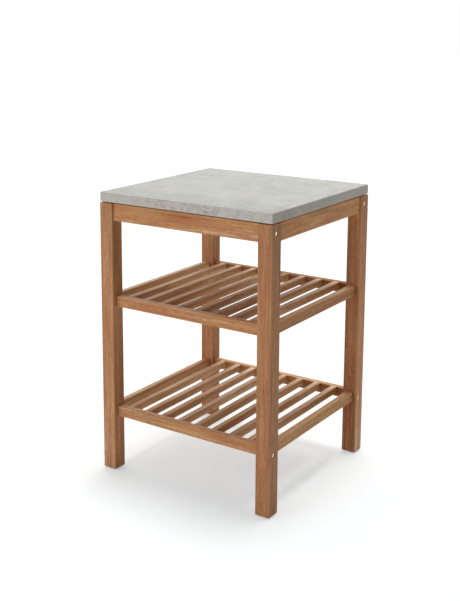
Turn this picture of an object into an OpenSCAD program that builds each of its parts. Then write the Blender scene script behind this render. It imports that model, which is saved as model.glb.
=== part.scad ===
// Outdoor kitchen module: a thick worktop on a bolted teak stand with two slatted shelves.
// Millimetres. +Z is up, +X is the right-hand side and -Y is the front.
// The origin is on the floor, under the middle of the stand.

/* [Overall] */
// Width over the legs, left to right
width = 620; // [560:5:720]
// Depth over the legs, front to back
depth = 600; // [520:5:700]
// Height from the floor to the top of the worktop
height = 904; // [850:2:950]

/* [Worktop] */
// Thickness of the slab
top_t = 30; // [20:1:40]
// How far the slab's edges stay inside the legs' outer faces
top_inset = 1; // [0:0.5:4]
// Chamfer on the slab's edges
top_arris = 2; // [0.5:0.5:4]
// Thickness of the pads that hold the slab clear of the wood
pad_t = 3; // [2:0.5:5]
// Diameter of those pads
pad_d = 26; // [16:1:36]

/* [Legs] */
// Side of the square legs
leg_w = 48; // [44:1:56]
// Chamfer on the legs' edges
leg_arris = 2; // [0.5:0.5:3]

/* [Aprons] */
// Height of the rails under the worktop
apron_h = 54; // [48:1:80]
// Thickness of those rails
apron_t = 28; // [24:1:32]
// How far their outer faces stand back from the legs' faces
apron_setback = 5.5; // [2:0.5:8]

/* [Shelves] */
// Height of the upper shelf's surface above the floor
upper_shelf = 576; // [480:1:640]
// Height of the lower shelf's surface above the floor
lower_shelf = 214.5; // [150:0.5:300]
// Height of the rails round each shelf
rail_h = 34; // [32:1:42]
// Thickness of those rails, and width of the slats
rail_t = 20; // [18:1:24]
// How far the rails' outer faces stand back from the legs' faces
rail_setback = 15; // [12:1:18]
// Height of the slats, which lie flush with the rails' top
slat_h = 22; // [18:1:22]
// Length of the tenon on each end of a slat
tenon_len = 10; // [6:1:12]
// Width of the shoulder round that tenon
tenon_shoulder = 4; // [2:0.5:5]
// Chamfer on the edges of the rails and slats
rail_arris = 1.5; // [0.5:0.5:2]

/* [Bolts] */
// Length of a bolt under its head
bolt_len = 70; // [70:1:72]
// Diameter of the bolt's shank
bolt_d = 6; // [5:0.5:6]
// Diameter of the bolt's flat head
bolt_head_d = 13; // [11:0.5:14]
// Thickness of the head
bolt_head_t = 2.5; // [2.5:0.5:3]
// Diameter of the counterbore in the leg
counterbore_d = 15; // [15:0.5:18]
// Depth of the counterbore in the leg
counterbore = 4.5; // [4:0.5:6]
// How far the lower bolts lie above the lower rails' bottom edge
lower_bolt_rise = 9.5; // [9:0.5:10]
// Diameter of the barrel nuts
nut_d = 10; // [9:0.5:10]
// Length of the barrel nuts
nut_len = 12; // [10:1:14]
// Distance from a rail's end to the middle of its barrel nut
nut_in = 24; // [22:1:25]

/* [Dowels and glides] */
// Diameter of the wooden dowels
dowel_d = 8; // [6:1:8]
// Length of a dowel, half of it in each piece
dowel_len = 36; // [24:2:36]
// Distance between the two dowels at an apron's end
apron_dowel_gap = 32; // [28:1:34]
// Distance between the two dowels at a shelf rail's end
rail_dowel_gap = 16; // [14:1:16]
// Diameter of the glides under the legs
glide_d = 32; // [20:1:40]
// Thickness of the glides
glide_t = 3; // [2:0.5:5]
// Length of a glide's pin, up inside the leg
glide_pin = 16; // [10:1:20]

/* [Hidden] */
$fn = 64;
// Slats in each shelf
slat_count = 8;
// Room round a peg, a pin or a shank in its hole
play = 0.1;
// Room past the tip of a bolt
tip_room = 3.5;
// Room round a bolt's shank where it passes through wood
shank_play = 0.25;
// Width and depth of the hexagon socket, and of the slot in a barrel nut
socket_w = 4;
socket_deep = 2;
slot_w = 1.2;
slot_deep = 1.5;
// Chamfers on the turned pieces
dowel_arris = 1;
small_arris = 0.5;
// Diameter of a glide's pin
glide_pin_d = 4;

leg_top = height - top_t - pad_t;
leg_x = width / 2 - leg_w;
leg_y = depth / 2 - leg_w;
leg_mid_x = width / 2 - leg_w / 2;
leg_mid_y = depth / 2 - leg_w / 2;
apron_z = leg_top - apron_h / 2;
apron_x = width / 2 - apron_setback - apron_t / 2;
apron_y = depth / 2 - apron_setback - apron_t / 2;
rail_x = width / 2 - rail_setback - rail_t / 2;
rail_y = depth / 2 - rail_setback - rail_t / 2;
upper_rail_z = upper_shelf - rail_h / 2;
lower_rail_z = lower_shelf - rail_h / 2;
lower_bolt_z = lower_shelf - rail_h + lower_bolt_rise;
lower_peg_z = lower_bolt_z + rail_dowel_gap;
slat_pitch = 2 * rail_x / (slat_count + 1);
peg = dowel_len / 2;
bolt_seat = width / 2 - counterbore;
nut_x = leg_x - nut_in;

// Heights of the dowels at each joint, seen at a leg
apron_pegs = [apron_z - apron_dowel_gap / 2, apron_z + apron_dowel_gap / 2];
upper_pegs = [upper_rail_z - rail_dowel_gap / 2, upper_rail_z + rail_dowel_gap / 2];
lower_pegs = [lower_rail_z - rail_dowel_gap / 2, lower_rail_z + rail_dowel_gap / 2];

SLAT_NODES = [for (shelf = ["upper", "lower"], i = [1:slat_count]) str(shelf, "_slat_", i)];
FRAME_NODES = [
    "worktop", "worktop_pads",
    "leg_front_left", "leg_front_right", "leg_back_right", "leg_back_left",
    "apron_front", "apron_back", "apron_left", "apron_right",
    "upper_rail_front", "upper_rail_back", "upper_rail_left", "upper_rail_right",
    "lower_rail_front", "lower_rail_back", "lower_rail_left", "lower_rail_right",
    "apron_bolts", "lower_rail_bolts", "apron_barrel_nuts", "lower_rail_barrel_nuts",
    "apron_dowels", "upper_rail_dowels", "lower_rail_dowels", "foot_glides"
];

teak = "#b07c55";
teak_light = "#c79a72";
stone = "#c2c4be";
beech = "#d8b98a";
steel = "#b9bcc0";
dark_plastic = "#2c2a28";

// A rectangle with its corners cut off
function eased(w, h, cut) = [
    [-w / 2 + cut, -h / 2], [w / 2 - cut, -h / 2], [w / 2, -h / 2 + cut], [w / 2, h / 2 - cut],
    [w / 2 - cut, h / 2], [-w / 2 + cut, h / 2], [-w / 2, h / 2 - cut], [-w / 2, -h / 2 + cut]
];

// Bars with eased long edges, centred on the origin, along each axis
module bar_x(len, w, h, cut) {
    rotate([90, 0, 90]) linear_extrude(len, center = true) polygon(eased(w, h, cut));
}

module bar_y(len, w, h, cut) {
    rotate([90, 0, 0]) linear_extrude(len, center = true) polygon(eased(w, h, cut));
}

module bar_z(len, w, h, cut) {
    linear_extrude(len, center = true) polygon(eased(w, h, cut));
}

// A block with all its twelve edges eased
module eased_block(w, d, h, cut) {
    intersection() {
        bar_x(w, d, h, cut);
        bar_y(d, w, h, cut);
        bar_z(h, w, d, cut);
    }
}

// Cylinders that start at the origin and run along +X or +Y
module rod_x(len, d) {
    rotate([0, 90, 0]) cylinder(h = len, d = d);
}

module rod_y(len, d) {
    rotate([-90, 0, 0]) cylinder(h = len, d = d);
}

// The stand is drawn in its back right quarter, and mirrored into the others
module to_left(left) {
    mirror([left ? 1 : 0, 0, 0]) children();
}

module to_front(front) {
    mirror([0, front ? 1 : 0, 0]) children();
}

module at_four_corners() {
    for (left = [false, true], front = [false, true])
        to_left(left) to_front(front) children();
}

// A post with its bolt holes, dowel holes and the hole for its glide
module leg() {
    hole = dowel_d + 2 * play;
    color(teak) difference() {
        translate([leg_mid_x, leg_mid_y, (leg_top + glide_t) / 2])
            eased_block(leg_w, leg_w, leg_top - glide_t, leg_arris);
        for (z = concat(apron_pegs, upper_pegs, [lower_peg_z]))
            translate([leg_x - 1, leg_mid_y, z]) rod_x(peg + 1, hole);
        for (z = apron_pegs)
            translate([apron_x, leg_y - 1, z]) rod_y(peg + 1, hole);
        for (z = concat(upper_pegs, lower_pegs))
            translate([rail_x, leg_y - 1, z]) rod_y(peg + 1, hole);
        for (z = [apron_z, lower_bolt_z]) {
            translate([leg_x - 1, leg_mid_y, z]) rod_x(leg_w + 2, bolt_d + 2 * shank_play);
            translate([bolt_seat, leg_mid_y, z]) rod_x(counterbore + 1, counterbore_d);
        }
        translate([leg_mid_x, leg_mid_y, 0])
            cylinder(h = glide_t + glide_pin, d = glide_pin_d + 2 * play);
    }
}

// The hole for a bolt in the end of a crosswise piece
module bolt_hole(z) {
    tip_x = bolt_seat - bolt_len - tip_room;
    translate([tip_x, leg_mid_y, z]) rod_x(leg_x - tip_x + 1, bolt_d + 2 * shank_play);
}

module dowel_holes_x(heights) {
    for (z = heights)
        translate([leg_x - peg, leg_mid_y, z]) rod_x(peg + 1, dowel_d + 2 * play);
}

module dowel_holes_y(x, heights) {
    for (z = heights)
        translate([x, leg_y - peg, z]) rod_y(peg + 1, dowel_d + 2 * play);
}

// A rail under the worktop, from side to side, bolted and pegged at both ends. Its nuts go in from the inside
module cross_apron() {
    inner = apron_y - apron_t / 2;
    color(teak) difference() {
        translate([0, apron_y, apron_z]) bar_x(2 * leg_x, apron_t, apron_h, rail_arris);
        for (left = [false, true]) to_left(left) {
            dowel_holes_x(apron_pegs);
            bolt_hole(apron_z);
            translate([nut_x, inner - 1, apron_z])
                rod_y(leg_mid_y + nut_len / 2 - inner + 1, nut_d + 2 * play);
        }
    }
}

// A rail under the worktop, from front to back, pegged at both ends
module side_apron() {
    color(teak) difference() {
        translate([apron_x, 0, apron_z]) bar_y(2 * leg_y, apron_t, apron_h, rail_arris);
        for (front = [false, true]) to_front(front) dowel_holes_y(apron_x, apron_pegs);
    }
}

// The part of a slat's end that goes into a cross rail
module tenon(len) {
    cube([rail_t - 2 * tenon_shoulder, len, slat_h - 2 * tenon_shoulder], center = true);
}

function slat_x(i) = -rail_x + i * slat_pitch;

// A shelf rail from side to side, with a mortise for every slat
module cross_rail(shelf) {
    inner = rail_y - rail_t / 2;
    difference() {
        translate([0, rail_y, shelf - rail_h / 2]) bar_x(2 * leg_x, rail_t, rail_h, rail_arris);
        for (i = [1:slat_count])
            translate([slat_x(i), inner, shelf - slat_h / 2]) tenon(2 * tenon_len);
    }
}

module upper_cross_rail() {
    color(teak) difference() {
        cross_rail(upper_shelf);
        for (left = [false, true]) to_left(left) dowel_holes_x(upper_pegs);
    }
}

// The lower one is bolted too. Its nuts go in from below, where they don't show and leave its faces whole
module lower_cross_rail() {
    color(teak) difference() {
        cross_rail(lower_shelf);
        for (left = [false, true]) to_left(left) {
            dowel_holes_x([lower_peg_z]);
            bolt_hole(lower_bolt_z);
            translate([nut_x, leg_mid_y, lower_shelf - rail_h - 1])
                cylinder(h = lower_bolt_rise + nut_len / 2 + 1, d = nut_d + 2 * play);
        }
    }
}

// A shelf rail from front to back, pegged at both ends
module side_rail(shelf, pegs) {
    color(teak) difference() {
        translate([rail_x, 0, shelf - rail_h / 2]) bar_y(2 * leg_y, rail_t, rail_h, rail_arris);
        for (front = [false, true]) to_front(front) dowel_holes_y(rail_x, pegs);
    }
}

// A slat with a tenon on each end
module slat(shelf, i) {
    span = 2 * rail_y - rail_t;
    color(teak_light) translate([slat_x(i), 0, shelf - slat_h / 2]) union() {
        bar_y(span, rail_t, slat_h, rail_arris);
        tenon(span + 2 * tenon_len);
    }
}

// A flat-headed bolt with a hexagon socket, its head on the floor of the counterbore
module bolt(z) {
    shank = bolt_d / 2;
    head = bolt_head_d / 2;
    color(steel) translate([bolt_seat, leg_mid_y, z]) rotate([0, 90, 0]) difference() {
        rotate_extrude() polygon([
            [0, -bolt_len], [shank - small_arris, -bolt_len], [shank, small_arris - bolt_len],
            [shank, 0], [head, 0], [head, bolt_head_t - small_arris],
            [head - small_arris, bolt_head_t], [0, bolt_head_t]
        ]);
        translate([0, 0, bolt_head_t - socket_deep])
            cylinder(h = socket_deep + 1, d = socket_w / cos(30), $fn = 6);
    }
}

// A barrel nut: a short upright steel cylinder with a cross bore, and a slot in its foot to turn it by
module barrel_nut() {
    color(steel) difference() {
        cylinder(h = nut_len, d = nut_d, center = true);
        translate([-nut_d, 0, 0]) rod_x(2 * nut_d, bolt_d + 2 * play);
        translate([-nut_d, -slot_w / 2, -nut_len / 2 - 1]) cube([2 * nut_d, slot_w, slot_deep + 1]);
    }
}

// A wooden dowel with chamfered ends, along +Z from the origin
module dowel() {
    r = dowel_d / 2;
    color(beech) rotate_extrude() polygon([
        [0, 0], [r - dowel_arris, 0], [r, dowel_arris], [r, dowel_len - dowel_arris],
        [r - dowel_arris, dowel_len], [0, dowel_len]
    ]);
}

module dowels_x(heights) {
    for (z = heights)
        translate([leg_x - peg, leg_mid_y, z]) rotate([0, 90, 0]) dowel();
}

module dowels_y(x, heights) {
    for (z = heights)
        translate([x, leg_y - peg, z]) rotate([-90, 0, 0]) dowel();
}

// A round glide with a pin that goes up into the leg
module glide() {
    r = glide_d / 2;
    pin = glide_pin_d / 2;
    color(dark_plastic) translate([leg_mid_x, leg_mid_y, 0]) rotate_extrude() polygon([
        [0, 0], [r - small_arris, 0], [r, small_arris], [r, glide_t],
        [pin, glide_t], [pin, glide_t + glide_pin - pin], [0, glide_t + glide_pin]
    ]);
}

module worktop() {
    color(stone) translate([0, 0, height - top_t / 2])
        eased_block(width - 2 * top_inset, depth - 2 * top_inset, top_t, top_arris);
}

module worktop_pads() {
    color(dark_plastic) at_four_corners()
        translate([leg_mid_x, leg_mid_y, leg_top]) cylinder(h = pad_t, d = pad_d);
}

module leg_front_left() to_left(true) to_front(true) leg();
module leg_front_right() to_front(true) leg();
module leg_back_right() leg();
module leg_back_left() to_left(true) leg();

module apron_front() to_front(true) cross_apron();
module apron_back() cross_apron();
module apron_left() to_left(true) side_apron();
module apron_right() side_apron();

module upper_rail_front() to_front(true) upper_cross_rail();
module upper_rail_back() upper_cross_rail();
module upper_rail_left() to_left(true) side_rail(upper_shelf, upper_pegs);
module upper_rail_right() side_rail(upper_shelf, upper_pegs);

module lower_rail_front() to_front(true) lower_cross_rail();
module lower_rail_back() lower_cross_rail();
module lower_rail_left() to_left(true) side_rail(lower_shelf, lower_pegs);
module lower_rail_right() side_rail(lower_shelf, lower_pegs);

module upper_slat(i) slat(upper_shelf, i);
module lower_slat(i) slat(lower_shelf, i);

module apron_bolts() at_four_corners() bolt(apron_z);
module lower_rail_bolts() at_four_corners() bolt(lower_bolt_z);
module apron_barrel_nuts() at_four_corners()
    translate([nut_x, leg_mid_y, apron_z]) rotate([-90, 0, 0]) barrel_nut();
module lower_rail_barrel_nuts() at_four_corners()
    translate([nut_x, leg_mid_y, lower_bolt_z]) barrel_nut();

module apron_dowels() {
    at_four_corners() {
        dowels_x(apron_pegs);
        dowels_y(apron_x, apron_pegs);
    }
}

module upper_rail_dowels() {
    at_four_corners() {
        dowels_x(upper_pegs);
        dowels_y(rail_x, upper_pegs);
    }
}

module lower_rail_dowels() {
    at_four_corners() {
        dowels_x([lower_peg_z]);
        dowels_y(rail_x, lower_pegs);
    }
}

module foot_glides() at_four_corners() glide();

worktop();
worktop_pads();
leg_front_left();
leg_front_right();
leg_back_right();
leg_back_left();
apron_front();
apron_back();
apron_left();
apron_right();
upper_rail_front();
upper_rail_back();
upper_rail_left();
upper_rail_right();
lower_rail_front();
lower_rail_back();
lower_rail_left();
lower_rail_right();
apron_bolts();
lower_rail_bolts();
apron_barrel_nuts();
lower_rail_barrel_nuts();
apron_dowels();
upper_rail_dowels();
lower_rail_dowels();
foot_glides();
for (i = [1:slat_count]) {
    upper_slat(i);
    lower_slat(i);
}
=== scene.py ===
"""Looks of the outdoor kitchen module: a stone-grey worktop on an oiled teak stand with two shelves.

Everything is in metres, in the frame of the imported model: +Z is up, +X the right-hand side and -Y
the front. The wooden bars, the worktop, the bolts, the pads and the glides are surfaces worked out
with numpy, in the boxes of the nodes that they stand for. The nuts and pegs inside the joints are
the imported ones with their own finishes.
"""

import math
from collections import namedtuple

import bpy
import numpy as np
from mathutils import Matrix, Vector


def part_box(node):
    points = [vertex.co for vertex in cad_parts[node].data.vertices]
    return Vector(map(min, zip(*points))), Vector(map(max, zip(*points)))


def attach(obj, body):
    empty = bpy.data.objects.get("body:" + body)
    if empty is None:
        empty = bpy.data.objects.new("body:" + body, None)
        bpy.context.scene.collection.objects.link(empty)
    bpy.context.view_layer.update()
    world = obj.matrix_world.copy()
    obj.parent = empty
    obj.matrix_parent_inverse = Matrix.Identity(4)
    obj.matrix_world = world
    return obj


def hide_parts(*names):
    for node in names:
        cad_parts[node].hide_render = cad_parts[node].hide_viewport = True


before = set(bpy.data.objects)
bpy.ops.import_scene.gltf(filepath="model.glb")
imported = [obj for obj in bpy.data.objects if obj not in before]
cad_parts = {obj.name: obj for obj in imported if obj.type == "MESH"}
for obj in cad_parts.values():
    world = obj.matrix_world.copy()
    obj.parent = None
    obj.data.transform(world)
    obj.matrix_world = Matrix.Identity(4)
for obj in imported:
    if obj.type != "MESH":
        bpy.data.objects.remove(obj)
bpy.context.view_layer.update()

MM = 0.001
BODY = "root"
ALONG_X, ALONG_Y, ALONG_Z = 0, 1, 2
QUARTER_TURN = np.pi / 2

# The four corners, each as its side (left -1, right 1) and its end (front -1, back 1)
CORNERS = [(side, front) for side in (-1, 1) for front in (-1, 1)]

# A bar's four long faces in the order of the walk round it: the way out of each face, and the way
# that the walk goes along it
OUTWARD = np.array([[1, 0], [0, 1], [-1, 0], [0, -1]], float)
ONWARD = np.array([[0, 1], [-1, 0], [0, -1], [1, 0]], float)

# How finely a bar is cut: steps round a long edge, round the edge of an end or of a bore, and along
# the side of a bore's window
ARRIS_STEPS, END_STEPS, WINDOW_STEPS = 4, 3, 8
WIDEST_STEP = 45 * MM

# Distances from a face's edges and from a bar's ends at which rows of points hold the faces flat
FACE_HOLDS = np.array([0, 1.5, 5.0]) * MM
END_HOLDS = np.array([1.0, 3.0, 9.0]) * MM

# The rings on a flat end: the first one's distance from the rim, and the next one's share of the way
CAP_HOLD, CAP_SHRINK = 3.0 * MM, 0.55

# Round a bore: its rounded lip, the room from its wall to its window, and from the window to the
# next row of points. Rows of points down its wall, as shares of its depth
BORE_LIP, BORE_MARGIN, WINDOW_ROOM = 0.5 * MM, 1.5 * MM, 0.3 * MM
WALL_ROWS = np.array([0.35, 0.8, 1.0])

# Two places that agree to so many decimals of a metre are one
PLACE_DIGITS = 7

# Edges sharper than this stay creased
CREASE = math.radians(40)

Bore = namedtuple("Bore", "face across along radius depth")
Tenon = namedtuple("Tenon", "length shoulder")
Bar = namedtuple("Bar", "points faces local to_edge to_end deep")


def window(bore, centre):
    """The stretch of a line that a bore's window takes, about the bore's centre."""
    return centre - bore.radius - BORE_MARGIN, centre + bore.radius + BORE_MARGIN


def stops_along(holds, windows):
    """Sorted places along a line: holds at both ends, and even steps between them and over windows."""
    inner = holds[-1]
    even = np.linspace(-inner, inner, int(2 * inner / WIDEST_STEP) + 2)
    stops = np.concatenate([-holds, even, holds])
    for low, high in windows:
        stops = stops[(stops < low - WINDOW_ROOM) | (stops > high + WINDOW_ROOM)]
    steps = [np.linspace(low, high, WINDOW_STEPS + 1) for low, high in windows]
    return np.unique(np.round(np.concatenate([stops, *steps]), PLACE_DIGITS))


def nearest(places, x):
    """The number of the place that is nearest to x."""
    return int(np.argmin(np.abs(places - x)))


def bar_bores(order, middle, bores):
    """Bores in a bar's own terms: the face, the centre on it, the radius and the depth."""
    faces = {(order[1], 1): 0, (order[2], 1): 1, (order[1], -1): 2, (order[2], -1): 3}
    found = []
    for axis, side, centre, radius, depth in bores:
        face = faces[axis, side]
        local = (np.array(centre, float) - middle)[order]
        found.append(Bore(face, local[1:] @ ONWARD[face], local[0], radius, depth))
    return found


def walk_round(reach, flat, arris, bores):
    """The walk round a bar, along a rectangle whose corners are quarter circles of radius arris.

    reach is how far each face lies from the middle, and flat is half the width of its flat part.
    Returns the points, the way out at each point, its distance from the nearest corner, the stops
    on each face, and where in the walk each face starts.
    """
    turn = np.linspace(0, QUARTER_TURN, ARRIS_STEPS + 1)[1:-1]
    walk, normal, edge, stops = [], [], [], []
    for face, (out, on) in enumerate(zip(OUTWARD, ONWARD)):
        holds = flat[face] - FACE_HOLDS
        t = stops_along(holds[holds > 0], {window(b, b.across) for b in bores if b.face == face})
        bend = np.outer(np.cos(turn), out) + np.outer(np.sin(turn), on)
        walk += [out * reach[face] + np.outer(t, on),
                 out * (reach[face] - arris) + on * flat[face] + arris * bend]
        normal += [np.tile(out, (len(t), 1)), bend]
        edge += [flat[face] - np.abs(t), np.zeros(len(turn))]
        stops.append(t)
    first = np.cumsum([0] + [len(t) + len(turn) for t in stops])
    return np.concatenate(walk), np.concatenate(normal), np.concatenate(edge), stops, first


def rings_along(half_u, half_across, end_arris, tenon, bores):
    """The rings of a bar from one end to the other.

    Within end_arris = e of the body's end a ring is drawn in by e(1 - sin a) at the height
    e(1 - cos a), with a from 0 to 90 degrees. Past the end the rings shrink towards a point, and a
    tenon's rings are drawn in by its shoulder first. Returns the place of each ring, how far it is
    drawn in, its scale, and half the length of the body.
    """
    a = np.linspace(0, QUARTER_TURN, END_STEPS + 1)
    rise, inset = end_arris * (1 - np.cos(a)), end_arris * (1 - np.sin(a))
    if tenon:
        cheek = 1 - tenon.shoulder / half_across
        cap_u, cap_size = np.array([0, 0, tenon.length]), [cheek * CAP_SHRINK, cheek, cheek]
    else:
        cap_u, cap_size = np.zeros(2), [[CAP_SHRINK] * 2, 1 - CAP_HOLD / half_across]
    body_u = half_u - cap_u[-1]
    stations = stops_along(body_u - end_arris - END_HOLDS, {window(b, b.along) for b in bores})
    end_u = np.concatenate([cap_u - half_u, rise - body_u])
    end_drawn = np.concatenate([np.full(len(cap_u), inset[0]), inset])
    end_size = np.concatenate([cap_size, np.ones((len(a), 2))])
    u = np.concatenate([end_u, stations, -end_u[::-1]])
    drawn = np.concatenate([end_drawn, 0 * stations, end_drawn[::-1]])
    size = np.concatenate([end_size, np.ones((len(stations), 2)), end_size[::-1]])
    return u, drawn, size, body_u


def lattice(grid):
    """Quads between the rows of a grid of point numbers, in which each row closes on itself."""
    after = np.roll(grid, -1, 1)
    return np.stack([grid[:-1], after[:-1], after[1:], grid[1:]], -1)


def fan(tip, rim):
    """Triangles from one point to the steps of a closed rim. A rim back to front turns them over."""
    return np.stack([np.full(len(rim), tip), rim, np.roll(rim, -1)], 1)


def bore_window(bore, u, stops, first, grid):
    """The rim of the window that a bore leaves in the grid, and the slice of the quads inside it."""
    i0, i1 = (nearest(u, x) for x in window(bore, bore.along))
    j0, j1 = (nearest(stops[bore.face], x) + first[bore.face] for x in window(bore, bore.across))
    i, j = np.arange(i0, i1), np.arange(j0, j1)
    rim = np.concatenate([grid[i0, j], grid[i, j1], grid[i1, j + 1][::-1], grid[i + 1, j0][::-1]])
    return rim, np.s_[i0:i1, j0:j1]


def bore_patch(bore, reach, rim):
    """A bore, from the rim of its window to the middle of its floor, which is the last point.

    Its rings have their points at the same angles as the rim's, seen from the bore's centre. They
    run over a quarter-round lip, down the wall and in over the floor. Returns the points, their
    distance from the lip and their depth.
    """
    lip = np.linspace(0, QUARTER_TURN, END_STEPS + 1)
    out = np.concatenate([[0.5 * BORE_MARGIN + BORE_LIP], BORE_LIP * (1 - np.sin(lip)), 0 * WALL_ROWS])
    down = np.concatenate([[0], BORE_LIP * (1 - np.cos(lip)), bore.depth * WALL_ROWS])
    out = np.append(bore.radius + out, CAP_SHRINK * bore.radius)
    down = np.append(down, bore.depth)
    angle = np.arctan2(rim[:, 0] - bore.along, rim[:, 1:] @ ONWARD[bore.face] - bore.across)
    along = bore.along + np.outer(out, np.sin(angle))
    across = bore.across + np.outer(out, np.cos(angle))
    inwards = OUTWARD[bore.face] * (reach - down)[:, None, None]
    patch = np.concatenate([along[..., None], inwards + across[..., None] * ONWARD[bore.face]], -1)
    bottom = OUTWARD[bore.face] * (reach - bore.depth) + bore.across * ONWARD[bore.face]
    points = np.concatenate([patch.reshape(-1, 3), [[bore.along, *bottom]]])
    near = np.append(np.repeat(np.abs(out - bore.radius) + down, len(rim)), bore.radius)
    return points, near, np.append(np.repeat(down, len(rim)), bore.depth)


def rounded_bar(low, high, along, arris, end_arris, open_ends, bores=(), tenon=None):
    """A bar with rounded edges, as a surface of two parameters: the walk round it and the place along.

    Each ring is the walk's rectangle drawn in and scaled, and a point closes either end. A bore
    leaves a window out of one face, and its patch fills it. Gives the points in place, the faces,
    the points as (along, across, across) from the middle, and each point's distance from the
    nearest edge that shows and from the nearest end or shoulder, and its depth in a bore.
    """
    low, high = np.array(low), np.array(high)
    middle, half = (low + high) / 2, (high - low) / 2
    order = [along, (along + 1) % 3, (along + 2) % 3]
    half_u, half_v, half_w = half[order]
    reach = np.array([half_v, half_w, half_v, half_w])
    flat = np.array([half_w, half_v, half_w, half_v]) - arris
    bores = bar_bores(order, middle, bores)
    walk, normal, edge, stops, first = walk_round(reach, flat, arris, bores)
    u, drawn, size, body_u = rings_along(half_u, half[order[1:]], end_arris, tenon, bores)

    rings = (walk[None] - drawn[:, None, None] * normal[None]) * size[:, None]
    points = np.concatenate([np.repeat(u, len(walk))[:, None], rings.reshape(-1, 2)], 1)
    to_edge = np.tile(edge, (len(u), 1))
    if open_ends:
        to_edge = np.minimum(to_edge, (half_u - np.abs(u))[:, None])
    to_edge[[0, 1, -2, -1]] += CAP_HOLD
    grid = np.arange(len(points)).reshape(len(u), len(walk))
    quads = lattice(grid)
    kept = np.ones(quads.shape[:2], bool)
    caps = [fan(len(points), grid[0, ::-1]), fan(len(points) + 1, grid[-1])]
    points = np.concatenate([points, [[-half_u, 0, 0], [half_u, 0, 0]]])
    to_edge = np.concatenate([to_edge.ravel(), [half_v, half_v]])
    deep = np.zeros(len(points))

    patches = []
    for bore in bores:
        rim, inside = bore_window(bore, u, stops, first, grid)
        kept[inside] = False
        patch, patch_edge, patch_deep = bore_patch(bore, reach[bore.face], points[rim])
        bottom = len(points) + len(patch) - 1
        circles = np.arange(len(points), bottom).reshape(-1, len(rim))
        patches += [lattice(np.concatenate([rim[None], circles])).reshape(-1, 4),
                    fan(bottom, circles[-1])]
        points = np.concatenate([points, patch])
        to_edge = np.concatenate([to_edge, patch_edge])
        deep = np.concatenate([deep, patch_deep])

    faces = [face for group in (quads[kept], *caps, *patches) for face in group.tolist()]
    placed = np.empty_like(points)
    placed[:, order] = points + middle[order]
    to_end = np.maximum(body_u - np.abs(points[:, 0]), 0)
    return Bar(placed, faces, points, to_edge, to_end, deep)


# The driving sizes of the bolts, pads and glides, in millimetres. SOCKET_R is half the width of a
# bolt's hexagon socket over its flats
SHANK_R, TIP, HEAD_R, HEAD_T, SOCKET_R = 3.0, -70.0, 6.5, 2.5, 2.0
PAD_R, PAD_T = 13.0, 3.0
GLIDE_R, GLIDE_T, PIN_R, PIN_TOP = 16.0, 3.0, 2.0, 19.0

TURNED_STEPS = 48
HEXAGON_SIDE = np.pi / 3


def turned(rows):
    """A closed turned form round its own third axis, as a surface of two parameters: angle and row.

    A row is (radius, height, hexagon share). At the share 1 the radius is that of a hexagon's flat,
    divided by the cosine of the angle from the middle of the nearest flat, and at 0 it is a circle.
    The first and last rows are the poles. Returns the points and the groups of faces.
    """
    radius, height, share = np.array(rows, float).T
    angle = np.arange(TURNED_STEPS) * 2 * np.pi / TURNED_STEPS
    hexagon = 1 / np.cos((angle + HEXAGON_SIDE / 2) % HEXAGON_SIDE - HEXAGON_SIDE / 2)
    r = radius[1:-1, None] * (1 + share[1:-1, None] * (hexagon[None] - 1))
    level = np.repeat(height[1:-1, None], TURNED_STEPS, 1)
    rings = np.stack([r * np.cos(angle), r * np.sin(angle), level], -1).reshape(-1, 3)
    points = np.concatenate([rings, [[0, 0, height[0]], [0, 0, height[-1]]]])
    grid = np.arange(len(rings)).reshape(-1, TURNED_STEPS)
    caps = [fan(len(rings), grid[0, ::-1]), fan(len(rings) + 1, grid[-1])]
    return points, [lattice(grid).reshape(-1, 4), *caps]


def turned_set(rows, places):
    """Copies of one turned form. A place is its foot, its axis and the way along that axis, 1 or -1.

    A copy that goes the way -1 has its other two axes swapped, so that its faces still look out.
    Also returns each point's own (radius, height, angle), which the finishes of turned pieces read.
    """
    local, groups = turned(rows)
    points, faces = [], []
    for count, (foot, axis, way) in enumerate(places):
        first, second = ((axis + 1) % 3, (axis + 2) % 3)[::way]
        copy = np.empty_like(local)
        copy[:, [first, second, axis]] = local * (1, 1, way)
        points.append(copy + np.array(foot))
        faces += [face for group in groups for face in (group + count * len(local)).tolist()]
    x, y, z = local.T
    own = np.stack([np.hypot(x, y), z, np.arctan2(y, x)], 1)
    return np.concatenate(points), faces, np.tile(own, (len(places), 1))


def make_piece(name, points, faces, finish, slot, nodes, **marks):
    """Makes a piece from a surface, with its marks, finish, body and nodes. The slot is not used."""
    mesh = bpy.data.meshes.new(name)
    mesh.from_pydata(points.tolist(), [], faces)
    mesh.update()
    for mark, values in marks.items():
        layer = mesh.attributes.new(mark, "FLOAT_VECTOR", "POINT")
        layer.data.foreach_set("vector", np.ascontiguousarray(values, np.float32).ravel())
    mesh.shade_smooth()
    mesh.set_sharp_from_angle(angle=CREASE)
    mesh.materials.append(finish)
    piece = bpy.data.objects.new(name, mesh)
    bpy.context.scene.collection.objects.link(piece)
    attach(piece, BODY)
    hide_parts(*nodes)


def rgb(red, green, blue):
    """A colour as it is written for a screen, 0 to 255, as the linear value that a socket takes."""
    c = np.array([red, green, blue]) / 255
    linear = np.where(c <= 0.04045, c / 12.92, ((c + 0.055) / 1.055) ** 2.4)
    return (*linear.tolist(), 1.0)


def new_finish(name):
    """An empty finish and its node tree."""
    finish = bpy.data.materials.new(name)
    finish.use_nodes = True
    finish.node_tree.nodes.clear()
    return finish, finish.node_tree


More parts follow.
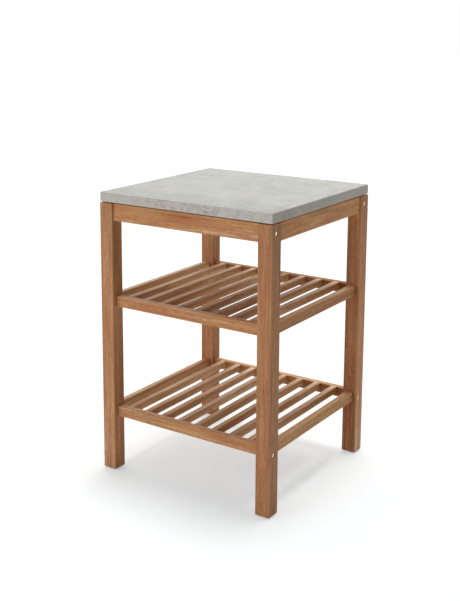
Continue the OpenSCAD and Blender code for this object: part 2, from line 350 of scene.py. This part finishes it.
def put(tree, kind, sockets=None, **settings):
    """Adds a node. Each socket gets a value, or a link if what is given is another node's output."""
    node = tree.nodes.new("ShaderNode" + kind)
    for key, value in settings.items():
        setattr(node, key, value)
    for key, value in (sockets or {}).items():
        if isinstance(value, bpy.types.NodeSocket):
            tree.links.new(value, node.inputs[key])
        else:
            node.inputs[key].default_value = value
    return node


def reading(tree, mark):
    """A piece's own mark, as a vector."""
    return put(tree, "Attribute", attribute_name=mark).outputs["Vector"]


def in_place(tree):
    """The place on the object, in metres."""
    return put(tree, "TexCoord").outputs["Object"]


def split(tree, vector):
    """The three parts of a vector."""
    return put(tree, "SeparateXYZ", {0: vector}).outputs


def scaled(tree, vector, scale):
    """A vector stretched by three scales."""
    return put(tree, "Mapping", {"Vector": vector, "Scale": scale}).outputs[0]


def noise(tree, vector, scale, detail=3.0, roughness=0.5, warp=0.0):
    """Noise in a vector that is first stretched by three scales, in features per metre."""
    sockets = {"Vector": scaled(tree, vector, scale), "Scale": 1.0, "Detail": detail,
               "Roughness": roughness, "Distortion": warp}
    return put(tree, "TexNoise", sockets).outputs[0]


def sums(tree, kind, a, b=0.0, c=0.0):
    """One kind of arithmetic, done on values or on other nodes' outputs."""
    return put(tree, "Math", {0: a, 1: b, 2: c}, operation=kind).outputs[0]


def product(tree, a, b):
    """One value times another."""
    return sums(tree, "MULTIPLY", a, b)


def layered(tree, start, *layers):
    """A start with layers added to it, each a share and what it is a share of."""
    for share, layer in layers:
        start = sums(tree, "MULTIPLY_ADD", layer, share, start)
    return start


def between(tree, value, low, high, to_low=0.0, to_high=1.0):
    """A value carried smoothly from one range to another, and held at its ends."""
    sockets = {"Value": value, "From Min": low, "From Max": high, "To Min": to_low, "To Max": to_high}
    return put(tree, "MapRange", sockets, interpolation_type="SMOOTHSTEP").outputs[0]


def ramp(tree, value, *stops):
    """A colour ramp through (place, colour) stops."""
    node = put(tree, "ValToRGB", {0: value})
    bar = node.color_ramp.elements
    for spot, (place, colour) in enumerate(stops):
        element = bar[spot] if spot < 2 else bar.new(place)
        element.position, element.color = place, colour
    return node.outputs[0]


def tinted(tree, share, base, other):
    """Two colours mixed by the second one's share."""
    return put(tree, "Mix", {0: share, 6: base, 7: other}, data_type="RGBA").outputs[2]


def bumped(tree, *layers, strength=0.5, distance=0.3 * MM):
    """A normal from the sum of layers of height."""
    sockets = {"Strength": strength, "Distance": distance, "Height": layered(tree, 0.0, *layers)}
    return put(tree, "Bump", sockets).outputs[0]


def finished(tree, **sockets):
    """Ends a finish with its shader. A socket's name has underscores for its spaces."""
    named = {key.replace("_", " "): value for key, value in sockets.items()}
    shader = put(tree, "BsdfPrincipled", named)
    put(tree, "OutputMaterial", {"Surface": shader.outputs[0]})


PALEST_TEAK = rgb(252, 222, 186)
RED_TEAK = rgb(190, 107, 74)
OLIVE_TEAK = rgb(171, 136, 87)
JOINT_SHADE = rgb(62, 36, 22)


def wandering(tree, grain):
    """The place in the log, pushed a little sideways by slow noise, so that the grain isn't straight."""
    sockets = {"Vector": scaled(tree, grain, (1.6, 8, 8)), "Scale": 1.0, "Detail": 1.0}
    drift = put(tree, "TexNoise", sockets).outputs[1]
    drift = put(tree, "VectorMath", {0: drift, 1: (0.5, 0.5, 0.5)}, operation="SUBTRACT").outputs[0]
    sockets = {0: drift, 1: (0.0, 0.018, 0.018), 2: grain}
    return put(tree, "VectorMath", sockets, operation="MULTIPLY_ADD").outputs[0]


def growth_rings(tree, wander):
    """Rings round the log's pith, which lies along the first axis."""
    sockets = {"Vector": scaled(tree, wander, (0.04, 1, 1)), "Scale": 42.0, "Distortion": 4.5,
               "Detail": 3.0, "Detail Scale": 1.1, "Detail Roughness": 0.6}
    return put(tree, "TexWave", sockets, wave_type="RINGS", rings_direction="X",
               wave_profile="SAW").outputs[1]


def reddish_and_olive(tree, wander, colour, hue):
    """A colour with reddish and olive patches. The higher the hue, the more of them are olive."""
    reddish = layered(tree, noise(tree, wander, (4.5, 48, 48), 3.0), (-0.12, hue))
    colour = tinted(tree, between(tree, reddish, 0.42, 0.70, 0.0, 0.52), colour, RED_TEAK)
    mirrored = scaled(tree, wander, (1, 1, -1))
    olive = layered(tree, noise(tree, mirrored, (5, 60, 60), 3.0), (0.16, hue))
    return tinted(tree, between(tree, olive, 0.48, 0.72, 0.0, 0.45), colour, OLIVE_TEAK)


def oiled_teak(name, pale, honey, brown, deep):
    """Oiled teak, cut from a log: rings, bands and streaks drawn out along the grain, and pores."""
    finish, tree = new_finish(name)
    grain = reading(tree, "grain")
    wear, joint_and_bore_shade, tone = split(tree, reading(tree, "cut"))
    hue = split(tree, reading(tree, "shade"))[0]

    wander = wandering(tree, grain)
    rings = growth_rings(tree, wander)
    late_wood = between(tree, rings, 0.62, 0.95)
    slow = noise(tree, wander, (3.2, 9, 9), 2.0)
    bands = noise(tree, wander, (1.1, 26, 26), 3.0, 0.5)
    streaks = noise(tree, wander, (3.5, 135, 135), 4.0, 0.62)
    dashes = noise(tree, grain, (24, 290, 290), 2.0, 0.6)
    flecks = noise(tree, grain, (62, 230, 230), 2.0, 0.6)
    fibre = noise(tree, grain, (22, 950, 950), 3.0, 0.6)
    pores = between(tree, noise(tree, grain, (70, 1900, 1900), 1.0), 0.34, 0.44)

    # The tone carries the looks: the wood's own tone, and painted light and shade as well
    value = layered(tree, -0.44, (0.46, bands), (0.30, slow), (0.48, streaks), (0.26, dashes),
                    (0.32, flecks), (-0.05, late_wood), (0.12, fibre), (0.22, tone))
    colour = ramp(tree, value, (0.38, deep), (0.50, brown), (0.61, honey), (0.76, pale),
                  (0.90, PALEST_TEAK))
    colour = reddish_and_olive(tree, wander, colour, hue)
    colour = tinted(tree, between(tree, pores, 0.0, 1.0, 0.30, 0.0), colour, deep)
    rubbed = product(tree, wear, between(tree, streaks, 0.35, 0.65, 0.10, 0.38))
    colour = tinted(tree, rubbed, colour, pale)
    # The dark line at the joints, with painted shade in the crease, and painted shade in the bores
    colour = tinted(tree, joint_and_bore_shade, colour, JOINT_SHADE)
    finished(tree, Base_Color=colour, Roughness=between(tree, streaks, 0.3, 0.7, 0.66, 0.52),
             Specular_IOR_Level=0.33,
             Normal=bumped(tree, (0.35, rings), (0.45, fibre), (0.5, pores), (0.3, streaks), strength=0.45))
    return finish


# The slab darkens a little towards its front, a painted shade: Y where it is darkest, and where it is even
# from
DARKEST_Y, EVEN_Y = -0.29, -0.12


def blotched_sides_with_painted_light(tree, colour, blotches, where, side, front):
    """The slab's colour with its sides yellower and a little darker, painted shade, the long ones paler,
    painted light, and blotches over them all.
    """
    # Painted shade on the sides, then painted light on the long sides
    colour = tinted(tree, product(tree, side, 0.5), colour, rgb(191, 189, 173))
    colour = tinted(tree, product(tree, front, 0.85), colour, rgb(224, 219, 212))
    rough = product(tree, between(tree, blotches, 0.45, 0.61),
                    between(tree, where, 0.40, 0.60, 0.20, 0.50))
    return tinted(tree, product(tree, rough, side), colour, rgb(146, 141, 146))


def honed_stone(name):
    """Honed grey slab with painted shade a little darker at the front, clouds, marks, and blotched sawn
    sides with painted light and shade.
    """
    finish, tree = new_finish(name)
    place = in_place(tree)
    wear, side, front = split(tree, reading(tree, "cut"))
    clouds = noise(tree, place, (5.5, 5.5, 5.5), 4.0, 0.5, 0.4)
    patches = noise(tree, place, (26, 30, 34), 6.0, 0.62, 0.5)
    shifted = put(tree, "Mapping", {"Vector": place, "Location": (0.07, 0, 0)}).outputs[0]
    where = noise(tree, shifted, (4.2, 5, 5), 1.0)
    marks = noise(tree, place, (20, 38, 52), 5.0, 0.66, 1.6)
    blotches = noise(tree, shifted, (62, 62, 90), 5.0, 0.68, 0.8)
    sand = noise(tree, place, (420, 420, 420), 2.0, 0.6)
    grit = noise(tree, place, (1500, 1500, 1500), 1.0)
    cells = {"Vector": place, "Scale": 95.0, "Randomness": 1.0}
    holes = put(tree, "TexVoronoi", cells, feature="F1").outputs[0]
    holes = between(tree, holes, 0.035, 0.075)

    y = split(tree, place)[1]
    # Painted shade, darker towards the front of the slab
    painted_front_shade = between(tree, y, DARKEST_Y, EVEN_Y, 0.005, 0.12)
    value = layered(tree, painted_front_shade, (0.18, clouds), (0.25, patches), (0.20, sand))
    colour = ramp(tree, value, (0.34, rgb(172, 172, 166)), (0.45, rgb(188, 188, 183)),
                  (0.54, rgb(195, 195, 190)), (0.66, rgb(203, 203, 198)))
    faint = product(tree, between(tree, marks, 0.56, 0.68),
                    between(tree, where, 0.50, 0.62, 0.06, 0.62))
    colour = tinted(tree, faint, colour, rgb(158, 157, 151))
    colour = blotched_sides_with_painted_light(tree, colour, blotches, where, side, front)
    colour = tinted(tree, between(tree, holes, 0.0, 1.0, 0.55, 0.0), colour, rgb(120, 118, 112))
    colour = tinted(tree, product(tree, wear, 0.20), colour, rgb(216, 215, 210))
    finished(tree, Base_Color=colour, Roughness=between(tree, patches, 0.3, 0.7, 0.66, 0.50),
             Specular_IOR_Level=0.45,
             Normal=bumped(tree, (0.5, sand), (0.25, grit), (0.9, holes), (0.4, patches), strength=0.35))
    return finish


def turned_steel(name, base):
    """Bright steel with fine turning lines round each piece's own axis, and painted shade in the socket."""
    finish, tree = new_finish(name)
    own = reading(tree, "own")
    radius, height, _ = split(tree, own)
    lines = noise(tree, own, (2600, 2600, 0.4), 2.0, 0.6)
    dull = noise(tree, own, (260, 260, 0.8), 3.0, 0.6)
    colour = tinted(tree, between(tree, dull, 0.35, 0.7, 0.0, 0.3), base, rgb(240, 222, 204))
    inside = between(tree, radius, (SOCKET_R + 0.1) * MM, (SOCKET_R + 0.5) * MM, 1.0, 0.0)
    below = between(tree, height, (HEAD_T - 1.0) * MM, (HEAD_T - 0.1) * MM, 0.5, 0.0)
    # Painted shade inside the socket
    socket = product(tree, inside, below)
    colour = tinted(tree, socket, colour, rgb(96, 84, 74))
    finished(tree, Base_Color=colour, Metallic=0.9,
             Roughness=between(tree, lines, 0.3, 0.7, 0.10, 0.20),
             Normal=bumped(tree, (1.0, lines), strength=0.25, distance=0.05 * MM))
    return finish


def plated_nut(name):
    """Dull plated steel for the barrel nuts in the joints."""
    finish, tree = new_finish(name)
    dull = noise(tree, in_place(tree), (700, 700, 700), 3.0, 0.6)
    colour = ramp(tree, dull, (0.3, rgb(128, 126, 120)), (0.7, rgb(178, 176, 170)))
    finished(tree, Base_Color=colour, Metallic=1.0,
             Roughness=between(tree, dull, 0.3, 0.7, 0.48, 0.32),
             Normal=bumped(tree, (1.0, dull), strength=0.2, distance=0.05 * MM))
    return finish


def moulded(name, base, dusty, rough):
    """Moulded rubber or plastic, finely pitted and dusty in patches."""
    finish, tree = new_finish(name)
    pits = noise(tree, in_place(tree), (900, 900, 900), 3.0, 0.6)
    dust = noise(tree, reading(tree, "own"), (300, 300, 1.2), 3.0, 0.6)
    colour = tinted(tree, between(tree, dust, 0.4, 0.75, 0.0, 0.6), base, dusty)
    finished(tree, Base_Color=colour,
             Roughness=between(tree, pits, 0.3, 0.7, rough - 0.08, rough + 0.1),
             Normal=bumped(tree, (1.0, pits), strength=0.3, distance=0.1 * MM))
    return finish


def beech_peg(name):
    """Pale beech with short darker flecks, for the pegs in the joints."""
    finish, tree = new_finish(name)
    place = in_place(tree)
    tone = noise(tree, place, (120, 120, 300), 3.0)
    flecks = between(tree, noise(tree, place, (500, 500, 1400), 1.0), 0.58, 0.7)
    colour = ramp(tree, tone, (0.3, rgb(200, 166, 122)), (0.7, rgb(222, 190, 148)))
    colour = tinted(tree, product(tree, flecks, 0.4), colour, rgb(160, 116, 74))
    finished(tree, Base_Color=colour, Roughness=between(tree, tone, 0.3, 0.7, 0.6, 0.7),
             Normal=bumped(tree, (1.0, flecks), strength=0.2, distance=0.1 * MM))
    return finish


leg_teak = oiled_teak("leg_teak", pale=rgb(226, 167, 122), honey=rgb(204, 143, 100),
                      brown=rgb(180, 118, 81), deep=rgb(138, 82, 55))
rail_teak = oiled_teak("rail_teak", pale=rgb(227, 169, 114), honey=rgb(205, 145, 92),
                       brown=rgb(181, 119, 72), deep=rgb(138, 82, 47))
slat_teak = oiled_teak("slat_teak", pale=rgb(236, 190, 144), honey=rgb(211, 156, 108),
                       brown=rgb(180, 123, 79), deep=rgb(130, 81, 49))
stone = honed_stone("honed_stone")
bolt_steel = turned_steel("turned_steel", rgb(255, 240, 224))
nut_steel = plated_nut("plated_nut")
pad_rubber = moulded("moulded_rubber", rgb(38, 37, 36), rgb(74, 71, 67), 0.72)
glide_plastic = moulded("moulded_plastic", rgb(44, 41, 39), rgb(84, 79, 73), 0.5)
beech = beech_peg("beech_peg")

# How far into the wood the wear of an edge and the painted shade in a bore reach; how far the dark line of
# a joint, with painted shade in its crease, reaches in most joints and as painted shade in the corners of
# the apron on the right; and how strong the painted shade in a bore is
EDGE_FADE, BORE_FADE = 1.6 * MM, 1.6 * MM
JOINT_FADE, CORNER_SHADE_FADE = 1.0 * MM, 3.2 * MM
BORE_SHADE = 0.75

# The power with which a face's own look takes over from its bar's, and the bar's place in its log:
# how far off the pith lies, and how far along the log the bar may be
FACE_FADE = 8
PITH_REACH = (0.07, 0.16)
LOG_REACH = (-3, 3)

# Each bar's draws start from a number made of the letters of its node's name
SEED_STEP = 7

# What a wooden bar is made of: its rounded edges, its finish and slot, the axis towards which its
# second look faces, and how dark the line at its joints is, with painted shade in the crease, from
# 0 for a bar with its ends in the open
Stock = namedtuple("Stock", "arris end_arris finish slot facing seam")
LEG = Stock(2.4 * MM, 1.8 * MM, leg_teak, "teak_leg", ALONG_X, 0)
RAIL = Stock(1.7 * MM, 0.4 * MM, rail_teak, "teak_rail", ALONG_Z, 0.85)
SLAT = Stock(1.7 * MM, 0.4 * MM, slat_teak, "teak_slat", ALONG_Z, 0.30)
SLAT_TENON = Tenon(10 * MM, 4 * MM)


def timber(node, along, stock, looks, seam_fade=JOINT_FADE, dark=BORE_SHADE, **cuts):
    """A wooden bar in a node's box, cut at its own place and turn from a log with a far pith.

    Its marks are the place in the log, the wear of its edges, the dark line at its joints with
    painted shade in the crease, painted shade in its bores, its own tone and its hue. A look is a
    tone, the lean of the tone towards the bar's far end, and a hue that is red below 0 and yellow
    above it. Besides the wood's own tone and hue, the looks hold painted light and shade. The first
    of the two looks is the bar's own, and the second is that of the face towards the stock's facing
    axis. seam_fade is how far the dark of a joint and its painted shade reach, and dark is how
    strong the painted shade in the bores is.
    """
    low, high = (np.array(corner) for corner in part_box(node))
    bar = rounded_bar(low, high, along, stock.arris, stock.end_arris, stock.seam == 0, **cuts)
    log = np.random.default_rng(sum(map(ord, node)) * SEED_STEP + len(node))
    turn, pith, shift = log.uniform(0, 2 * np.pi), log.uniform(*PITH_REACH), log.uniform(*LOG_REACH)
    across = np.array([[math.cos(turn), -math.sin(turn)], [math.sin(turn), math.cos(turn)]])
    grain = np.concatenate([bar.local[:, :1] + shift, bar.local[:, 1:] @ across.T + [pith, 0.0]], 1)
    wear = np.exp(-bar.to_edge / EDGE_FADE)
    # Painted shade in the bores, darker deeper in, and the dark line at the joints with painted shade in
    # the crease
    bore_shade = np.minimum(bar.deep / BORE_FADE, 1) * dark
    joint_and_bore_shade = np.maximum(np.exp(-bar.to_end / seam_fade) * stock.seam, bore_shade)
    place = (2 * bar.points - low - high) / (high - low)
    own_look, face_look = np.array(looks, float)
    share = np.clip(place[:, stock.facing], 0, 1) ** FACE_FADE
    # The looks carry painted light and shade besides each face's own tone and hue
    tone, lean, hue = own_look[:, None] + share * (face_look - own_look)[:, None]
    cut = np.stack([wear, joint_and_bore_shade, tone + lean * place[:, along]], 1)
    shade = np.stack([hue, 0 * hue, 0 * hue], 1)
    make_piece(node + "_teak", bar.points, bar.faces, stock.finish, stock.slot, [node],
               grain=grain, cut=cut, shade=shade)


COUNTERBORE_R = 7.5 * MM
NUT_R, NUT_PLAY = 5 * MM, 0.1 * MM


def bolt_row(row):
    """Where the seats of a row of bolts lie, from the box of their node."""
    low, high = (np.array(corner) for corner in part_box(row + "_bolts"))
    return high[0] - HEAD_T * MM, high[1] - HEAD_R * MM, (low[2] + high[2]) / 2


bolt_rows = {row: bolt_row(row) for row in ("apron", "lower_rail")}


def leg_bores(node, side, front):
    """The counterbores of a leg's two bolts, on its outer side."""
    face_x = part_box(node)[1 if side > 0 else 0][0]
    return [(ALONG_X, side, (face_x, front * y, z), COUNTERBORE_R, abs(face_x) - seat)
            for seat, y, z in bolt_rows.values()]


def nut_bores(node, front):
    """The bores of a cross piece's two nuts: an apron's from its inner face, a rail's from below."""
    low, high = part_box(node)
    row = node.rsplit("_", 1)[0]
    nuts_low, nuts_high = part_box(row + "_barrel_nuts")
    x, radius = nuts_high[0] - NUT_R, NUT_R + NUT_PLAY
    if row == "apron":
        inner = min(abs(low[1]), abs(high[1]))
        z, depth = (nuts_low[2] + nuts_high[2]) / 2, nuts_high[1] + NUT_PLAY - inner
        return [(ALONG_Y, -front, (side * x, front * inner, z), radius, depth) for side in (-1, 1)]
    y, depth = nuts_high[1] - NUT_R, nuts_high[2] + NUT_PLAY - low[2]
    return [(ALONG_Z, -1, (side * x, front * y, low[2]), radius, depth) for side in (-1, 1)]


# Most numbers in the three tables of looks were made by another program. It fitted them to the photograph,
# face by face, and they were rounded to tenths. The rest were given one by one

# Besides each bar's own tone and hue, the looks hold painted light and shade: faces lighter, darker or
# tinted as the light falls on them, slat tops mostly lighter towards the back, and the back right leg's
# front darker towards its foot
# The legs' looks, of which the second is that of the right side, and how strong the painted shade in their
# bores is
LEG_LOOKS = {
    "front_left": ((0.8, -0.2, 0.2), (0.2, -0.4, 0.7)),
    "front_right": ((0.2, -0.2, 0.5), (-0.1, -0.4, 1.1)),
    "back_right": ((0.0, 0.4, 0.6), (0.7, -1.0, 0.3)),
    "back_left": ((0.0, 0.1, 0.6), (0.3, 0, 0.3)),
}
LEG_BORE_SHADE = {"front_left": 0.5, "front_right": 0.95, "back_right": 0.0, "back_left": 0.5}


def legs():
    """The legs, square posts with a counterbore on the outer side for each bolt."""
    for corner, looks in LEG_LOOKS.items():
        side = 1 if corner.endswith("right") else -1
        front = -1 if corner.startswith("front") else 1
        node = "leg_" + corner
        timber(node, ALONG_Z, LEG, looks, dark=LEG_BORE_SHADE[corner],
               bores=leg_bores(node, side, front))


# The looks of the aprons and the shelf rails, of which the second is that of the top. Like all the looks,
# they hold painted light and shade besides the wood's own tone
RAIL_LOOKS = {
    "apron_front": ((0.9, 0.2, -0.5), (0.7, 0, 0)),
    "apron_back": ((0.4, 0, 0), (0.4, 0, 0)),
    "apron_left": ((0.5, 0, 0), (0.5, 0, 0)),
    "apron_right": ((0.6, 0.2, 0.3), (0.8, 0, 0.5)),
    "upper_rail_front": ((0.9, 0, -0.9), (1.6, -0.3, -1.0)),
    "upper_rail_back": ((-0.5, -0.6, 0.2), (-0.8, 1.1, 1.5)),
    "upper_rail_left": ((0.9, 0.6, 1.0), (1.6, -0.1, 1.1)),
    "upper_rail_right": ((0.1, 0.2, 0.8), (0.9, 0.7, 1.1)),
    "lower_rail_front": ((0.9, -0.2, -0.1), (1.2, -0.4, -0.4)),
    "lower_rail_back": ((0.3, -0.8, 1.2), (1.0, 0.4, 0.7)),
    "lower_rail_left": ((0.9, 0.2, 1.4), (1.4, -0.9, 0.6)),
    "lower_rail_right": ((1.1, 0.1, 0.8), (0.8, 0.1, 1.5)),
}


def rails():
    """The aprons and the rails of both shelves. The apron on the right has a wider dark band at its joints,
    painted shade in its corners by the legs.
    """
    for node, looks in RAIL_LOOKS.items():
        crosswise = node.endswith(("front", "back"))
        bolted = crosswise and not node.startswith("upper")
        bores = nut_bores(node, -1 if node.endswith("front") else 1) if bolted else []
        # The apron on the right gets a wider dark band at its joints, painted shade in its corners by the
        # legs
        seam_fade = CORNER_SHADE_FADE if node == "apron_right" else JOINT_FADE
        timber(node, ALONG_X if crosswise else ALONG_Y, RAIL, looks, seam_fade=seam_fade, bores=bores)


# The slats' looks from left to right, of which the second is that of the top. The tops' looks hold painted
# light that mostly grows towards the back
SLAT_LOOKS = {
    "upper": (
        ((0.6, 1.2, 0.5), (2.0, 1.2, 0.1)), ((0.6, 0.3, 1.0), (2.0, 1.2, -0.6)),
        ((0.1, 0.7, 0.7), (1.7, 1.2, -1.0)), ((0.6, 1.1, 0.2), (0.6, 1.2, -1.0)),
        ((0.1, 1.1, 1.5), (0.4, -0.1, 0.4)), ((-0.1, 0.5, 0.9), (0.8, 1.2, 0.2)),
        ((-0.3, 0.0, 1.5), (1.3, 1.2, -1.0)), ((1.1, -0.9, 0.1), (2.0, 1.2, 0.0)),
    ),
    "lower": (
        ((1.5, -0.3, 0.3), (1.6, 0.7, -1.0)), ((0.8, 0.2, 1.1), (1.8, 0.8, -0.5)),
        ((0.9, 0.7, 1.2), (1.6, 1.2, 0.2)), ((1.3, 0.6, -0.1), (2.0, 0.7, 0.2)),
        ((1.1, -0.1, 1.3), (1.1, 0.0, -0.7)), ((0.3, 0.9, 0.8), (0.6, 0.2, -0.2)),
        ((0.5, 0.1, 0.7), (0.8, 0.6, 0.3)), ((1.1, -1.0, 1.5), (1.9, 0.8, -0.5)),
    ),
}


def slats():
    """The slats, which run from front to back, flush with the rails' top, tenoned into the rails."""
    for shelf, looks_in_order in SLAT_LOOKS.items():
        for number, looks in enumerate(looks_in_order, 1):
            timber(f"{shelf}_slat_{number}", ALONG_Y, SLAT, looks, tenon=SLAT_TENON)


SLAB_ARRIS, SLAB_END = 2.0 * MM, 1.8 * MM


def worktop():
    """The slab. Its marks are the wear of its edges, the share of a side, which carries blotches and
    painted shade, and that of a long side, which carries painted light.
    """
    low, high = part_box("worktop")
    slab = rounded_bar(low, high, ALONG_X, SLAB_ARRIS, SLAB_END, open_ends=True)
    wear = np.exp(-slab.to_edge / EDGE_FADE)
    _, y, z = slab.points.T
    side = np.clip(np.minimum(high[2] - z, z - low[2]) / SLAB_ARRIS, 0, 1)
    front = side * (1 - np.clip(np.minimum(high[1] - y, y - low[1]) / SLAB_ARRIS, 0, 1))
    make_piece("worktop_slab", slab.points, slab.faces, stone, "worktop_stone", ["worktop"],
               cut=np.stack([wear, side, front], 1))


# The turned forms' rows, in millimetres. A bolt has a low crowned head with a hexagon socket, and
# its height is counted from its seat
ROW_UNITS = (MM, MM, 1)
BOLT = np.array([
    (0, TIP, 0), (SHANK_R - 0.5, TIP, 0), (SHANK_R, TIP + 0.5, 0), (SHANK_R, -0.2, 0),
    (SHANK_R + 0.2, 0, 0), (HEAD_R - 0.4, 0, 0), (HEAD_R - 0.1, 0.15, 0), (HEAD_R, 0.5, 0),
    (HEAD_R, HEAD_T - 1, 0), (HEAD_R - 0.1, HEAD_T - 0.6, 0), (HEAD_R - 0.4, HEAD_T - 0.32, 0),
    (HEAD_R - 0.9, HEAD_T - 0.16, 0), (HEAD_R - 1.9, HEAD_T - 0.07, 0),
    (HEAD_R - 3.3, HEAD_T - 0.01, 0.2), (SOCKET_R + 0.45, HEAD_T, 0.7),
    (SOCKET_R + 0.15, HEAD_T - 0.08, 1), (SOCKET_R, HEAD_T - 0.3, 1), (SOCKET_R, 0.7, 1),
    (SOCKET_R - 0.2, 0.55, 1), (0, 0.4, 0),
]) * ROW_UNITS
PAD = np.array([
    (0, 0, 0), (PAD_R - 0.9, 0, 0), (PAD_R - 0.35, 0.15, 0), (PAD_R - 0.1, 0.6, 0),
    (PAD_R, PAD_T / 2, 0), (PAD_R - 0.1, PAD_T - 0.6, 0), (PAD_R - 0.35, PAD_T - 0.15, 0),
    (PAD_R - 0.9, PAD_T, 0), (0, PAD_T, 0),
]) * ROW_UNITS
GLIDE = np.array([
    (0, 0, 0), (GLIDE_R - 2.2, 0, 0), (GLIDE_R - 0.9, 0.25, 0), (GLIDE_R - 0.2, 0.9, 0),
    (GLIDE_R, 1.7, 0), (GLIDE_R, GLIDE_T - 0.3, 0), (GLIDE_R - 0.3, GLIDE_T, 0),
    (PIN_R + 0.2, GLIDE_T, 0), (PIN_R, GLIDE_T + 0.2, 0), (PIN_R, PIN_TOP - 0.5, 0),
    (PIN_R - 0.4, PIN_TOP, 0), (0, PIN_TOP, 0),
]) * ROW_UNITS


def bolts():
    """The bolts, four to a row, in from the sides."""
    for row, (seat, y, z) in bolt_rows.items():
        places = [((side * seat, front * y, z), ALONG_X, side) for side, front in CORNERS]
        points, faces, own = turned_set(BOLT, places)
        make_piece(row + "_bolt_set", points, faces, bolt_steel, "bolt_steel", [row + "_bolts"],
                   own=own)


def upright_set(node, name, form, radius, finish, slot):
    """An upright turned form in each corner of a node's box."""
    low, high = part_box(node)
    x, y = high[0] - radius * MM, high[1] - radius * MM
    places = [((side * x, front * y, low[2]), ALONG_Z, 1) for side, front in CORNERS]
    points, faces, own = turned_set(form, places)
    make_piece(name, points, faces, finish, slot, [node], own=own)


def nuts_and_pegs():
    """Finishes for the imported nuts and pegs."""
    for node, finish in (
        ("apron_barrel_nuts", nut_steel), ("lower_rail_barrel_nuts", nut_steel),
        ("apron_dowels", beech), ("upper_rail_dowels", beech), ("lower_rail_dowels", beech),
    ):
        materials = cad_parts[node].data.materials
        materials.clear()
        materials.append(finish)


legs()
rails()
slats()
worktop()
bolts()
upright_set("worktop_pads", "worktop_pad_set", PAD, PAD_R, pad_rubber, "pad_rubber")
upright_set("foot_glides", "foot_glide_set", GLIDE, GLIDE_R, glide_plastic, "glide_plastic")
nuts_and_pegs()

# The photograph's angle. The focal length and the axis are in pixels of the photograph, whose long
# side is upright
PHOTO_W, PHOTO_H = 460, 601
FOCAL, AXIS_X, AXIS_Y = 1022.9, 198.1, 200.0
HEADING, PITCH = math.radians(34.9), math.radians(10.38)
VIEWPOINT = (1.7145, -2.6713, 1.4461)
SENSOR = 36


def photo_camera():
    """The camera at the photograph's angle."""
    camera = bpy.data.cameras.new("camera")
    camera.sensor_width = SENSOR
    camera.lens = SENSOR * FOCAL / PHOTO_H
    camera.shift_x = (PHOTO_W / 2 - AXIS_X) / PHOTO_H
    camera.shift_y = (AXIS_Y - PHOTO_H / 2) / PHOTO_H
    viewpoint = bpy.data.objects.new("camera", camera)
    viewpoint.location = VIEWPOINT
    viewpoint.rotation_euler = (math.pi / 2 - PITCH, 0, HEADING)
    bpy.context.scene.collection.objects.link(viewpoint)
    bpy.context.scene.camera = viewpoint


def seen_directly(tree):
    """1 for what the camera sees, straight or by way of gloss or glass, and 0 for what lights things."""
    ray = put(tree, "LightPath").outputs
    indirect = sums(tree, "MAXIMUM", ray["Is Glossy Ray"], ray["Is Transmission Ray"])
    return sums(tree, "MAXIMUM", ray["Is Camera Ray"], indirect)


FLOOR_HALF = 30.0
FLOOR_PAINT = (0.80, 0.79, 0.765, 1)
FLOOR_LIFT, FLOOR_LIFT_LEVEL = (0.84, 0.935, 1, 1), 0.466


def floor():
    """A plain floor, white to the camera, that keeps the stand's shadow."""
    mesh = bpy.data.meshes.new("floor")
    corners = [(x * FLOOR_HALF, y * FLOOR_HALF, 0) for x, y in ((-1, -1), (1, -1), (1, 1), (-1, 1))]
    mesh.from_pydata(corners, [], [(0, 1, 2, 3)])
    ground = bpy.data.objects.new("floor", mesh)
    bpy.context.scene.collection.objects.link(ground)
    finish, tree = new_finish("floor_paint")
    level = product(tree, seen_directly(tree), FLOOR_LIFT_LEVEL)
    lift = put(tree, "Emission", {"Color": FLOOR_LIFT, "Strength": level})
    paint = put(tree, "BsdfDiffuse", {"Color": FLOOR_PAINT})
    both = put(tree, "AddShader", {0: paint.outputs[0], 1: lift.outputs[0]})
    put(tree, "OutputMaterial", {"Surface": both.outputs[0]})
    mesh.materials.append(finish)


SKY_TINT, SKY_LEVEL = (1.0, 0.94, 0.80, 1), 0.10
WHITE = (1, 1, 1, 1)


def sky():
    """Soft light from all round, white behind the object."""
    world = bpy.data.worlds.new("studio")
    world.use_nodes = True
    bpy.context.scene.world = world
    tree = world.node_tree
    tree.nodes.clear()
    seen = seen_directly(tree)
    tint = tinted(tree, seen, SKY_TINT, WHITE)
    level = between(tree, seen, 0.0, 1.0, SKY_LEVEL, 1.0)
    light = put(tree, "Background", {"Color": tint, "Strength": level})
    put(tree, "OutputWorld", {"Surface": light.outputs[0]})


def soft_lamp(name, heading, elevation, spread, level):
    """A lamp as wide as a soft box. Its heading is from the front, with left positive, in degrees."""
    lamp = bpy.data.lights.new(name, "SUN")
    lamp.energy, lamp.angle = level * math.pi, math.radians(spread)
    holder = bpy.data.objects.new(name, lamp)
    h, e = math.radians(heading), math.radians(elevation)
    holder.rotation_euler = (math.pi / 2 - e, 0, -h)
    bpy.context.scene.collection.objects.link(holder)


photo_camera()
floor()
sky()
# The lamps' levels began as a fit to the photograph and were then set one by one
soft_lamp("light_above", 195, 81, 22, 0.46)
soft_lamp("light_behind_left", 130, 36, 80, 0.395)
soft_lamp("light_front_left", 35, 12, 60, 0.365)

bpy.context.scene.view_settings.view_transform = "Standard"
